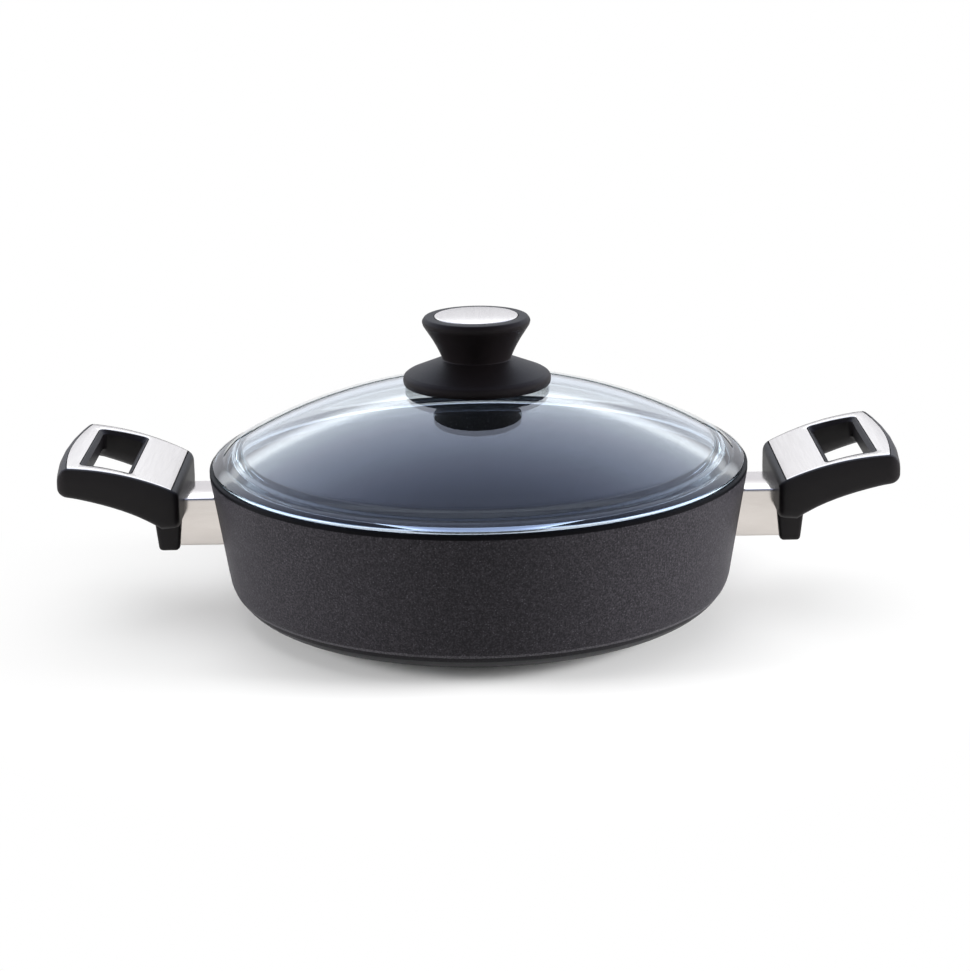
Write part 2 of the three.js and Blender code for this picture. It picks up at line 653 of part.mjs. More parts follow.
function lid() {
  const group = new THREE.Group();
  const insert = ring(screwHole, threadInsertRadius, bossBottom, threadInsertLength);
  const lower = ring(screwHole, gasketRadius, lowerFace - gasketThickness, gasketThickness);
  const washer = ring(screwHole, knobWasherRadius, washerTop - knobWasherThickness, knobWasherThickness);
  const length = bossBottom + screwEngagement - headSeat;
  const shortScrew = panScrew(knobScrewRadius, length, knobHeadRadius, knobHeadHeight);
  const screw = piece('knob_screw', shortScrew, platedSteel);
  screw.position.z = headSeat;
  screw.rotation.x = Math.PI;
  group.add(piece('lid_glass', turned(glassProfile(), roundSides), clearGlass));
  group.add(piece('lid_knob', turned(knobProfile(), knobSides), phenolic));
  group.add(piece('knob_cap_disc', capDisc(), satinSteel));
  group.add(piece('knob_thread_insert', insert, brass));
  group.add(piece('knob_upper_gasket', grommet(), silicone));
  group.add(piece('knob_lower_gasket', lower, silicone));
  group.add(piece('knob_washer', washer, platedSteel));
  group.add(screw);
  return group;
}

const casserole = new THREE.Group();
casserole.add(piece('pot_body', potBody(), coating));
const rightHandle = handle('right');
const leftHandle = handle('left');
leftHandle.rotation.z = Math.PI;
casserole.add(rightHandle, leftHandle, lid());

export default casserole;
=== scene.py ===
import math

import bmesh
import bpy
from mathutils import Matrix, Vector


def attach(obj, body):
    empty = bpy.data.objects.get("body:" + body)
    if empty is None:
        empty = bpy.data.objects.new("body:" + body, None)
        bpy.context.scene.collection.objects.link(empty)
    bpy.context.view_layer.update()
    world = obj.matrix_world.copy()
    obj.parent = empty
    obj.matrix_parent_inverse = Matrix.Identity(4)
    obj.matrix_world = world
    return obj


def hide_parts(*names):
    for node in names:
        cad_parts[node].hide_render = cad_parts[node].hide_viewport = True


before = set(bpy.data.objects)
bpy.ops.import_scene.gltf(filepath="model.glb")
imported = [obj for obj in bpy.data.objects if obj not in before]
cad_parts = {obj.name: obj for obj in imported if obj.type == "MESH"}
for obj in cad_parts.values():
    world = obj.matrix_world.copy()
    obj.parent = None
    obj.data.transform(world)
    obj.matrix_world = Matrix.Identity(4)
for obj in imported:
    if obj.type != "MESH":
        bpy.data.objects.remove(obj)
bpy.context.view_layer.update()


def linear(hexColour):
    # sRGB hex to the linear colour that shaders take
    shares = [int(hexColour[i:i + 2], 16) / 255 for i in (1, 3, 5)]
    return (*[c / 12.92 if c <= 0.04045 else ((c + 0.055) / 1.055) ** 2.4 for c in shares], 1)


def addNode(tree, kind, settings={}, links={}):
    node = tree.nodes.new(kind)
    for name, value in settings.items():
        if isinstance(name, str) and hasattr(node, name):
            setattr(node, name, value)
        else:
            node.inputs[name].default_value = value
    for name, source in links.items():
        tree.links.new(source, node.inputs[name])
    return node


def newMaterial(name):
    material = bpy.data.materials.new(name)
    material.use_nodes = True
    material.node_tree.nodes.clear()
    return material, material.node_tree


def perMetre(millimetres):
    # texture scale that gives a grain of this size on Object coordinates
    return 1000 / millimetres


# texture values between which the coat's specks and grain fade, and the depth of its relief in metres
coatPattern = {"speckFade": (0.36, 0.18), "grainFade": (0.42, 0.66), "relief": 0.0003}


# Cast aluminium under a sprayed stone-look non-stick coat: charcoal, low sheen, fine pale grit in the paint
def stoneCoat(name, look):
    material, tree = newMaterial(name)
    place = addNode(tree, "ShaderNodeTexCoord")
    mottle = addNode(tree, "ShaderNodeTexNoise", {"Scale": perMetre(look["mottle"]), "Detail": 3.0},
                     {"Vector": place.outputs["Object"]})
    grit = addNode(tree, "ShaderNodeTexNoise", {"Scale": perMetre(look["grit"]), "Detail": 2.0, "Roughness": 0.7},
                   {"Vector": place.outputs["Object"]})
    cells = addNode(tree, "ShaderNodeTexVoronoi", {"Scale": perMetre(look["speck"])},
                    {"Vector": place.outputs["Object"]})
    dot = addNode(tree, "ShaderNodeMapRange",
                  {"From Min": coatPattern["speckFade"][0], "From Max": coatPattern["speckFade"][1]},
                  {"Value": cells.outputs["Distance"]})
    chance = addNode(tree, "ShaderNodeSeparateColor", {}, {"Color": cells.outputs["Color"]})
    chosen = addNode(tree, "ShaderNodeMapRange", {"From Min": look["rarity"], "From Max": 1.0},
                     {"Value": chance.outputs["Red"]})
    speck = addNode(tree, "ShaderNodeMath", {"operation": "MULTIPLY"},
                    {0: dot.outputs["Result"], 1: chosen.outputs["Result"]})
    grain = addNode(tree, "ShaderNodeMapRange",
                    {"From Min": coatPattern["grainFade"][0], "From Max": coatPattern["grainFade"][1]},
                    {"Value": grit.outputs["Fac"]})
    paint = addNode(tree, "ShaderNodeMix",
                    {"data_type": "RGBA", 6: linear(look["dark"]), 7: linear(look["light"])},
                    {0: grain.outputs["Result"]})
    pigment = addNode(tree, "ShaderNodeMix", {"data_type": "RGBA", 7: linear(look["speckColour"])},
                      {0: speck.outputs["Value"], 6: paint.outputs[2]})
    gloss = addNode(tree, "ShaderNodeMapRange", {"To Min": look["gloss"][0], "To Max": look["gloss"][1]},
                    {"Value": mottle.outputs["Fac"]})
    relief = addNode(tree, "ShaderNodeBump", {"Strength": look["bump"], "Distance": coatPattern["relief"]},
                     {"Height": grit.outputs["Fac"]})
    shader = addNode(tree, "ShaderNodeBsdfPrincipled", {"IOR": 1.38, "Specular IOR Level": look["sheen"]},
                     {"Base Color": pigment.outputs[2], "Roughness": gloss.outputs["Result"],
                      "Normal": relief.outputs["Normal"]})
    addNode(tree, "ShaderNodeOutputMaterial", {}, {"Surface": shader.outputs["BSDF"]})
    return material


# Bare aluminium turned on a lathe: fine rings round the axis and a soft metal glare
# (the wave node turns 20 radians a unit, so a ring is six times the feed, coarse enough to show)
def turnedAluminium(name, look):
    material, tree = newMaterial(name)
    place = addNode(tree, "ShaderNodeTexCoord")
    rings = addNode(tree, "ShaderNodeTexWave",
                    {"wave_type": "RINGS", "rings_direction": "Z", "Scale": perMetre(look["feed"]) / 20,
                     "Distortion": 0.4},
                    {"Vector": place.outputs["Object"]})
    gloss = addNode(tree, "ShaderNodeMapRange", {"To Min": look["gloss"][0], "To Max": look["gloss"][1]},
                    {"Value": rings.outputs["Fac"]})
    relief = addNode(tree, "ShaderNodeBump", {"Strength": look["bump"], "Distance": 0.0002},
                     {"Height": rings.outputs["Fac"]})
    shader = addNode(tree, "ShaderNodeBsdfPrincipled", {"Base Color": linear(look["colour"]), "Metallic": 1.0},
                     {"Roughness": gloss.outputs["Result"], "Normal": relief.outputs["Normal"]})
    addNode(tree, "ShaderNodeOutputMaterial", {}, {"Surface": shader.outputs["BSDF"]})
    return material


# Phenolic moulded in a spark-finished tool: black, satin, with a very fine pitted skin
# (real pits are about 0.1 mm; they are drawn near 1 mm so that they show)
def phenolic(name, look):
    material, tree = newMaterial(name)
    place = addNode(tree, "ShaderNodeTexCoord")
    pits = addNode(tree, "ShaderNodeTexNoise", {"Scale": perMetre(look["pit"]), "Detail": 2.0},
                   {"Vector": place.outputs["Object"]})
    cloud = addNode(tree, "ShaderNodeTexNoise", {"Scale": perMetre(look["cloud"]), "Detail": 4.0},
                    {"Vector": place.outputs["Object"]})
    tone = addNode(tree, "ShaderNodeMix",
                   {"data_type": "RGBA", 6: linear(look["dark"]), 7: linear(look["light"])},
                   {0: cloud.outputs["Fac"]})
    gloss = addNode(tree, "ShaderNodeMapRange", {"To Min": look["gloss"][0], "To Max": look["gloss"][1]},
                    {"Value": pits.outputs["Fac"]})
    relief = addNode(tree, "ShaderNodeBump", {"Strength": look["bump"], "Distance": 0.0002},
                     {"Height": pits.outputs["Fac"]})
    shader = addNode(tree, "ShaderNodeBsdfPrincipled", {"IOR": 1.5, "Specular IOR Level": look["sheen"]},
                     {"Base Color": tone.outputs[2], "Roughness": gloss.outputs["Result"],
                      "Normal": relief.outputs["Normal"]})
    addNode(tree, "ShaderNodeOutputMaterial", {}, {"Surface": shader.outputs["BSDF"]})
    return material


# Stainless steel: satin-brushed, polished or plated by its grain, gloss and colour
# (brush lines are drawn coarser than the real tenth of a millimetre so that they show)
def steel(name, look):
    material, tree = newMaterial(name)
    place = addNode(tree, "ShaderNodeTexCoord")
    stretch = addNode(tree, "ShaderNodeMapping", {"Scale": look["stretch"]}, {"Vector": place.outputs["Object"]})
    brush = addNode(tree, "ShaderNodeTexNoise", {"Scale": perMetre(look["grain"]), "Detail": 3.0},
                    {"Vector": stretch.outputs["Vector"]})
    gloss = addNode(tree, "ShaderNodeMapRange", {"To Min": look["gloss"][0], "To Max": look["gloss"][1]},
                    {"Value": brush.outputs["Fac"]})
    tone = addNode(tree, "ShaderNodeMix",
                   {"data_type": "RGBA", 6: linear(look["dark"]), 7: linear(look["light"])},
                   {0: brush.outputs["Fac"]})
    relief = addNode(tree, "ShaderNodeBump", {"Strength": look["bump"], "Distance": 0.0001},
                     {"Height": brush.outputs["Fac"]})
    shader = addNode(tree, "ShaderNodeBsdfPrincipled", {"Metallic": 1.0},
                     {"Base Color": tone.outputs[2], "Roughness": gloss.outputs["Result"],
                      "Normal": relief.outputs["Normal"]})
    addNode(tree, "ShaderNodeOutputMaterial", {}, {"Surface": shader.outputs["BSDF"]})
    return material


# Pressed borosilicate glass: clear, slightly blue-green where light runs a long way through it
def pressedGlass(name, look):
    material, tree = newMaterial(name)
    shader = addNode(tree, "ShaderNodeBsdfPrincipled",
                     {"Base Color": (1, 1, 1, 1), "Transmission Weight": 1.0, "Roughness": 0.0, "IOR": look["ior"]})
    tint = addNode(tree, "ShaderNodeVolumeAbsorption",
                   {"Color": linear(look["tint"]), "Density": look["density"]})
    rays = addNode(tree, "ShaderNodeLightPath")
    clear = addNode(tree, "ShaderNodeBsdfTransparent")
    mix = addNode(tree, "ShaderNodeMixShader", {},  # lamps light the pot through the lid
                  {0: rays.outputs["Is Shadow Ray"], 1: shader.outputs["BSDF"], 2: clear.outputs["BSDF"]})
    addNode(tree, "ShaderNodeOutputMaterial", {}, {"Surface": mix.outputs[0], "Volume": tint.outputs["Volume"]})
    return material


# Silicone rubber: matt, with a dusty fine grain, drawn coarse enough to show
def silicone(name, look):
    material, tree = newMaterial(name)
    place = addNode(tree, "ShaderNodeTexCoord")
    dust = addNode(tree, "ShaderNodeTexNoise", {"Scale": perMetre(look["dust"]), "Detail": 3.0},
                   {"Vector": place.outputs["Object"]})
    tone = addNode(tree, "ShaderNodeMix",
                   {"data_type": "RGBA", 6: linear(look["dark"]), 7: linear(look["light"])},
                   {0: dust.outputs["Fac"]})
    shader = addNode(tree, "ShaderNodeBsdfPrincipled", {"Roughness": 0.65, "IOR": 1.42},
                     {"Base Color": tone.outputs[2]})
    addNode(tree, "ShaderNodeOutputMaterial", {}, {"Surface": shader.outputs["BSDF"]})
    return material


# real grit is about 0.3 mm, too fine to show at this distance, so it is drawn as coarse as 1 mm
outerCoat = stoneCoat("sprayed_stone_coat", {
    "dark": "#212023", "light": "#363438", "speckColour": "#47454a", "mottle": 9, "grit": 1.0, "speck": 1.2,
    "rarity": 0.5, "gloss": (0.44, 0.52), "bump": 0.25, "sheen": 0.07})
# the same coat drawn paler and glossier along the lower band's edge: a painted highlight line there
highlightCoat = stoneCoat("painted_highlight_coat", {
    "dark": "#302e32", "light": "#4d4b4f", "speckColour": "#5e5c61", "mottle": 9, "grit": 1.0, "speck": 1.2,
    "rarity": 0.5, "gloss": (0.42, 0.5), "bump": 0.25, "sheen": 0.15})
# the lower band's coat, smoother, and drawn darker as painted shade where the band faces the floor
shadedBandCoat = stoneCoat("lower_band_painted_shade_coat", {
    "dark": "#141316", "light": "#222124", "speckColour": "#323134", "mottle": 9, "grit": 1.0, "speck": 1.2,
    "rarity": 0.6, "gloss": (0.44, 0.52), "bump": 0.15, "sheen": 0.1})
# the inside's coat is smoother, so it shows as a dark sheen under the glass
innerCoat = stoneCoat("inner_stone_coat", {
    "dark": "#151517", "light": "#1f2023", "speckColour": "#3a3b3e", "mottle": 12, "grit": 1.0, "speck": 1.6,
    "rarity": 0.7, "gloss": (0.4, 0.5), "bump": 0.0, "sheen": 0.4})
# the rim is drawn near black: painted shade, a dark line under the lid
rimShadeCoat = stoneCoat("rim_painted_shade_coat", {
    "dark": "#060608", "light": "#0b0b0d", "speckColour": "#121215", "mottle": 9, "grit": 1.2, "speck": 1.6,
    "rarity": 0.8, "gloss": (0.42, 0.5), "bump": 0.03, "sheen": 0.07})
# the foot is left bare after turning, pale and ringed
bareBase = turnedAluminium("turned_aluminium", {
    "colour": "#b9babc", "feed": 1.2, "gloss": (0.28, 0.42), "bump": 0.35})
blackMoulding = phenolic("black_phenolic", {
    "dark": "#0f0c0d", "light": "#161314", "pit": 0.9, "cloud": 14,
    "gloss": (0.42, 0.52), "bump": 0.08, "sheen": 0.2})
# painted shade: the grips' phenolic drawn blacker and with less sheen for the knob
shadedKnobMoulding = phenolic("black_phenolic_knob_painted_shade", {
    "dark": "#0d0a0b", "light": "#131011", "pit": 0.9, "cloud": 14,
    "gloss": (0.42, 0.52), "bump": 0.08, "sheen": 0.12})
# brushed across the handles, which softens what the plates and the disc mirror
satinSteel = steel("satin_stainless", {
    "dark": "#c9c4be", "light": "#d4cfc9", "grain": 0.8, "stretch": (1, 0.04, 1),
    "gloss": (0.18, 0.27), "bump": 0.03})
# the sleeves' near mirror, faintly wavy along the tube
polishedSteel = steel("polished_stainless", {
    "dark": "#cdc6c0", "light": "#d8d2cd", "grain": 3, "stretch": (0.2, 1, 1),
    "gloss": (0.1, 0.18), "bump": 0.02})
# zinc on the screws and washers: grey and slightly dull
platedSteel = steel("zinc_plated_steel", {
    "dark": "#9b9da1", "light": "#b4b6b9", "grain": 1.5, "stretch": (1, 1, 1),
    "gloss": (0.25, 0.4), "bump": 0.05})
# brass takes the steel's pattern with its own warm colour
turnedBrass = steel("turned_brass", {
    "dark": "#a88545", "light": "#c09c58", "grain": 1, "stretch": (1, 1, 6),
    "gloss": (0.25, 0.4), "bump": 0.05})
clearGlass = pressedGlass("pressed_borosilicate", {"ior": 1.48, "tint": "#8cd4ee", "density": 15})
greySilicone = silicone("grey_silicone", {"dark": "#323234", "light": "#403f41", "dust": 0.8})
print("materials made:", len(bpy.data.materials))


# Profile pen: a profile is drawn in the XZ plane in millimetres, then spun about Z
def lineTo(bm, vert, radius, height):
    end = bmesh.ops.extrude_vert_indiv(bm, verts=[vert])["verts"][0]
    end.co = (radius, 0, height)
    return end


def arcTo(bm, vert, centre, degrees, steps):
    # positive degrees run outwards and down from the top
    turn = bmesh.ops.spin(bm, geom=[vert], cent=(centre[0], 0, centre[1]), axis=(0, 1, 0),
                          angle=math.radians(degrees), steps=steps)
    return turn["geom_last"][0]


mostOfEdge = 0.98  # a rounding never takes up a whole edge


def roundOff(bm, vert, radius, segments=4):
    one, two = [edge.other_vert(vert).co - vert.co for edge in vert.link_edges]
    reach = radius / math.tan(one.angle(two) / 2)
    reach = min(reach, mostOfEdge * one.length, mostOfEdge * two.length)
    bmesh.ops.bevel(bm, geom=[vert], offset=reach, offset_type="OFFSET", segments=segments, profile=0.5,
                    affect="VERTICES", material=-1)


def spinProfile(bm, steps):
    bmesh.ops.spin(bm, geom=bm.verts[:] + bm.edges[:], cent=(0, 0, 0), axis=(0, 0, 1), angle=2 * math.pi,
                   steps=steps, use_merge=True)
    bmesh.ops.remove_doubles(bm, verts=bm.verts, dist=0.0005)
    bmesh.ops.recalc_face_normals(bm, faces=bm.faces)


def drawCorners(bm, vert, corners):
    # corners are (radius, height, rounding); the last vertex drawn is returned
    drawn = []
    for radius, height, rounding in corners:
        vert = lineTo(bm, vert, radius, height)
        drawn.append((vert, rounding))
    for corner, rounding in drawn:
        if rounding:
            roundOff(bm, corner, rounding, 10 if rounding > 5 else 4)  # wide roundings are finer
    return vert


def drawProfile(corners):
    bm = bmesh.new()
    start = bm.verts.new((corners[0][0], 0, corners[0][1]))
    return bm, drawCorners(bm, start, corners[1:])


def finishPiece(name, bm, materials, body, nodes, smoothAngle=35):
    bmesh.ops.scale(bm, vec=(0.001, 0.001, 0.001), verts=bm.verts)  # millimetres to metres
    mesh = bpy.data.meshes.new(name)
    bm.to_mesh(mesh)
    bm.free()
    mesh.polygons.foreach_set("use_smooth", [True] * len(mesh.polygons))
    mesh.set_sharp_from_angle(angle=math.radians(smoothAngle))
    piece = bpy.data.objects.new(name, mesh)
    bpy.context.collection.objects.link(piece)
    for material in materials:
        mesh.materials.append(material)
    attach(piece, body)
    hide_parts(*nodes)
    print("made", name, len(mesh.polygons), "faces")


def placeSide(bm, side):
    # handle pieces are drawn for the right-hand end and turned half round for the left
    if side == "left":
        bmesh.ops.rotate(bm, cent=(0, 0, 0), matrix=Matrix.Rotation(math.pi, 3, "Z"), verts=bm.verts)


# Pot
potSizes = {
    "rim": 145, "height": 82, "rimEdge": 1.3, "bead": 78.4, "beadRounding": 3, "taper": 8.75,
    "dark": 79.6,  # height at which the rim's painted shade starts
    "mouth": 139.62, "mouthEdge": 0.8, "innerTaper": 7.1, "innerCorner": 17, "floor": 7.2,
    "corner": 21.3, "bandTop": 14.8, "bandSlope": 0.8, "bandRounding": (0.4, 0.6), "setBack": 0.15, "highlightHeight": 1.2,
    "foot": 108.7, "footHeight": 4.7, "footEdge": 2.4, "footRounding": (0.6, 0.8, 0.6),
    "grooves": (48, 88), "grooveDepth": 0.5, "grooveHalf": 1.2,
    "lug": (138, 153, 33.5, 23.2),  # from, to, width, height
    "sleeveMiddle": 53.2, "floorSlack": 0.1, "coatSlack": 0.3, "bandSteps": 12, "cornerSteps": 8, "steps": 192}
potCoats = [outerCoat, innerCoat, bareBase, rimShadeCoat, highlightCoat, shadedBandCoat]


def wallRadius(height):
    return potSizes["rim"] - (potSizes["bead"] - height) * math.tan(math.radians(potSizes["taper"]))


def innerRadius(height):
    return potSizes["mouth"] - (potSizes["height"] - height) * math.tan(math.radians(potSizes["innerTaper"]))


def makePot():
    p = potSizes
    corners = [(0, 0, 0)]
    for radius in p["grooves"]:
        corners += [(radius - p["grooveHalf"], 0, 0), (radius, p["grooveDepth"], 0),
                    (radius + p["grooveHalf"], 0, 0)]
    tangent = p["corner"] * math.tan(math.radians(90 - p["taper"]) / 2)
    centre = (wallRadius(p["footHeight"]) - tangent, p["footHeight"] + p["corner"])
    lowRound, sideRound, highRound = p["footRounding"]
    footTop = p["footHeight"] + p["setBack"]
    corners += [(p["foot"] - p["footEdge"], 0, lowRound), (p["foot"], p["footEdge"], sideRound),
                (p["foot"], footTop, highRound), (centre[0], footTop, 0)]
    bm, pen = drawProfile(corners)
    # the lower band lies a little behind the wall and ends in a sloped edge
    turn = math.acos((centre[1] - p["bandTop"]) / (p["corner"] - p["setBack"]))
    edge = arcTo(bm, pen, centre, -math.degrees(turn), p["bandSteps"])
    reach = math.acos((centre[1] - p["bandTop"] - p["bandSlope"]) / p["corner"])
    ledge = lineTo(bm, edge, centre[0] + p["corner"] * math.sin(reach),
                   centre[1] - p["corner"] * math.cos(reach))
    pen = arcTo(bm, ledge, centre, math.degrees(reach) - 90 + p["taper"], p["cornerSteps"])
    for vert, rounding in zip((edge, ledge), p["bandRounding"]):
        roundOff(bm, vert, rounding, 3)
    drawCorners(bm, pen, [
        (p["rim"], p["bead"], p["beadRounding"]), (p["rim"], p["dark"], 0),
        (p["rim"], p["height"], p["rimEdge"]), (p["mouth"], p["height"], p["mouthEdge"]),
        (innerRadius(p["floor"]), p["floor"], p["innerCorner"]), (0, p["floor"], 0)])
    spinProfile(bm, p["steps"])
    for face in bm.faces:
        middle = face.calc_center_median()
        radius = math.hypot(middle.x, middle.y)
        if middle.z < p["footEdge"] and radius < p["foot"] - p["footEdge"]:
            coat = bareBase
        elif middle.z > p["floor"] - p["floorSlack"] and radius < innerRadius(middle.z) + p["coatSlack"]:
            coat = innerCoat
        # painted shade: the near-black coat on the rim above this height
        elif middle.z > p["dark"]:
            coat = rimShadeCoat
        # painted shade: the darker coat on the lower band
        elif middle.z < p["bandTop"] - p["coatSlack"]:
            coat = shadedBandCoat
        # painted highlight: the paler coat on a thin strip along the lower band's edge
        elif middle.z < p["bandTop"] + p["bandSlope"] + p["highlightHeight"]:
            coat = highlightCoat
        else:
            coat = outerCoat
        face.material_index = potCoats.index(coat)
    start, end, width, height = p["lug"]
    for side in (1, -1):
        lug = bmesh.ops.create_cube(bm, size=1)["verts"]
        bmesh.ops.scale(bm, vec=(end - start, width, height), verts=lug)
        bmesh.ops.translate(bm, vec=(side * (start + end) / 2, 0, p["sleeveMiddle"]), verts=lug)
    finishPiece("cast_pot", bm, potCoats, "pot", ["pot_body"])


makePot()

# Glass lid
glassSizes = {
    "edge": 143.2, "seat": 82.1, "domeRadius": 271, "crown": 124.903, "wall": 5, "turn": 132.7, "roll": 24.3,
    "rollFoot": 4.5, "flange": (140.75, 85.65), "lip": 1.6, "skirtOuter": 136.2, "skirtFoot": 135.5,
    "skirtBottom": 76.5, "skirtInner": 131.29, "ledgeOuter": (129.7, 83.2), "ledgeInner": (128.1, 84.0),
    "groove": (133.4, 0.7),  # radius, depth
    "hole": 5, "domeSteps": 40, "rollSteps": 10, "roundSteps": 6, "steps": 256,
    "rounding": {"flange": 14, "nose": 0.5, "shoulder": 0.35, "fillet": 0.5, "outerFoot": 1.2, "innerFoot": 1.5,
                 "ledge": 0.8, "dome": 3},
    "smoothAngle": 60}


def makeGlass():
    g = glassSizes
    centre = (0, g["crown"] - g["domeRadius"])
    innerDome = g["domeRadius"] - g["wall"]
    holeTurn = math.degrees(math.asin(g["hole"] / g["domeRadius"]))
    domeTurn = math.degrees(math.asin(g["turn"] / g["domeRadius"]))
    bm = bmesh.new()
    start = bm.verts.new((g["hole"], 0, centre[1] + math.sqrt(g["domeRadius"] ** 2 - g["hole"] ** 2)))
    pen = arcTo(bm, start, centre, domeTurn - holeTurn, g["domeSteps"])
    share = g["roll"] / g["domeRadius"]
    rollCentre = (pen.co.x * (1 - share), pen.co.z - (pen.co.z - centre[1]) * share)
    rollHeight = g["seat"] + g["rollFoot"] - rollCentre[1]
    rollTurn = 90 - math.degrees(math.asin(rollHeight / g["roll"])) - domeTurn
    pen = arcTo(bm, pen, rollCentre, rollTurn, g["rollSteps"])
    flange = pen = lineTo(bm, pen, *g["flange"])
    shoulder = pen = lineTo(bm, pen, g["edge"], g["seat"] + g["lip"])
    nose = pen = lineTo(bm, pen, g["edge"], g["seat"])
    fillet = pen = lineTo(bm, pen, g["skirtOuter"], g["seat"])
    outerFoot = pen = lineTo(bm, pen, g["skirtFoot"], g["skirtBottom"])
    radius, deep = g["groove"]
    for step, lift in ((deep, 0), (0, deep), (-deep, 0)):
        pen = lineTo(bm, pen, radius + step, g["skirtBottom"] + lift)
    innerFoot = pen = lineTo(bm, pen, g["skirtInner"], g["skirtBottom"])
    ledgeOuter = pen = lineTo(bm, pen, *g["ledgeOuter"])
    ledgeInner = pen = lineTo(bm, pen, *g["ledgeInner"])
    innerStart = g["skirtInner"] - g["wall"]
    innerTurn = math.degrees(math.asin(innerStart / innerDome))
    dome = pen = lineTo(bm, pen, innerStart, centre[1] + math.sqrt(innerDome ** 2 - innerStart ** 2))
    innerHole = math.degrees(math.asin(g["hole"] / innerDome))
    pen = arcTo(bm, pen, centre, innerHole - innerTurn, g["domeSteps"])
    bm.edges.new((pen, start))
    for name, vert in (("flange", flange), ("nose", nose), ("shoulder", shoulder), ("fillet", fillet),
                       ("outerFoot", outerFoot), ("innerFoot", innerFoot), ("ledge", ledgeOuter),
                       ("ledge", ledgeInner), ("dome", dome)):
        roundOff(bm, vert, g["rounding"][name], g["roundSteps"])
    spinProfile(bm, g["steps"])
    finishPiece("domed_glass", bm, [clearGlass], "lid", ["lid_glass"], g["smoothAngle"])


makeGlass()

# Knob
knobSizes = {
    "head": 29.1, "top": 160.103, "brim": 157.703, "brimDrop": 2.1, "underHead": 28.5,
    "neck": (21.9, 145.4), "neckRounding": 60, "waist": 18.5, "waistHeight": 137.203,
    "flange": 39.8, "slopeEnd": 37.2, "slopeHeight": 129.603, "bottom": 123.4, "lip": 3, "roof": 4,
    "boss": 9, "bossBottom": 126.903, "insert": 4.8, "insertTop": 139.2, "recess": 22.6, "recessFloor": 158.9,
    "steps": 128}


def makeKnob():
    k = knobSizes
    lipInner = k["flange"] - k["lip"]
    corners = [  # radius, height, rounding, from the insert's bore outwards and up to the disc's recess
        (0, k["insertTop"], 0), (k["insert"], k["insertTop"], 0), (k["insert"], k["bossBottom"], 0.3),
        (k["boss"], k["bossBottom"], 0.5), (k["boss"], k["waistHeight"] - k["roof"], 1.5),
        (k["waist"] + 1, k["waistHeight"] - k["roof"], 2), (lipInner - 1, k["slopeHeight"] - k["roof"], 2),
        (lipInner, k["bottom"], 0.5), (k["flange"] - 0.6, k["bottom"], 0.8), (k["flange"], k["bottom"] + 2.5, 3),
        (k["flange"] - 0.5, k["slopeHeight"] - 1.4, 2), (k["slopeEnd"], k["slopeHeight"], 2.5),
        (k["waist"] + 1, k["waistHeight"] - 0.4, 0.5), (k["waist"] - 0.2, k["waistHeight"], 0.6),
        (*k["neck"], k["neckRounding"]), (k["underHead"], k["brim"] - k["brimDrop"], 0.8),
        (k["head"], k["brim"], 1.6), (k["head"] - 1.5, k["top"] - 0.2, 1.4), (k["recess"], k["top"], 0.25),
        (k["recess"], k["recessFloor"], 0), (0, k["recessFloor"], 0)]
    bm, _ = drawProfile(corners)
    spinProfile(bm, k["steps"])
    finishPiece("waisted_knob", bm, [shadedKnobMoulding], "lid", ["lid_knob"])


makeKnob()

capSizes = {"radius": 22.3, "bottom": 159.203, "top": 160.402, "edge": 0.35, "steps": 128}


def makeCap():
    c = capSizes
    bm, _ = drawProfile([(0, c["bottom"], 0), (c["radius"], c["bottom"], 0), (c["radius"], c["top"], c["edge"]),
                         (0, c["top"], 0)])
    spinProfile(bm, c["steps"])
    finishPiece("knob_disc", bm, [satinSteel], "lid", ["knob_cap_disc"])


makeCap()

# Sleeves between pot and grips
sleeveSizes = {"width": 36.5, "height": 26.2, "edge": 1.3, "middle": 53.2, "end": 169.5, "sink": 1.2}


def makeSleeve(side):
    s = sleeveSizes
    bm = bmesh.new()
    bmesh.ops.create_grid(bm, x_segments=1, y_segments=1, size=0.5)
    bmesh.ops.scale(bm, vec=(s["height"], s["width"], 1), verts=bm.verts)
    bmesh.ops.bevel(bm, geom=bm.verts[:], offset=s["edge"], offset_type="OFFSET", segments=5, profile=0.5,
                    affect="VERTICES", material=-1)
    bmesh.ops.rotate(bm, cent=(0, 0, 0), matrix=Matrix.Rotation(math.radians(90), 3, "Y"), verts=bm.verts)
    bmesh.ops.translate(bm, vec=(s["end"], 0, s["middle"]), verts=bm.verts)
    drawn = bmesh.ops.extrude_face_region(bm, geom=bm.faces[:], use_keep_orig=True)["geom"]
    for vert in [v for v in drawn if isinstance(v, bmesh.types.BMVert)]:
        vert.co.x = math.sqrt(wallRadius(vert.co.z) ** 2 - vert.co.y ** 2) - s["sink"]  # follows the pot's wall
    bmesh.ops.recalc_face_normals(bm, faces=bm.faces)
    placeSide(bm, side)
    finishPiece(side + "_drawn_sleeve", bm, [polishedSteel], "pot", [side + "_sleeve"])


for side in ("right", "left"):
    makeSleeve(side)

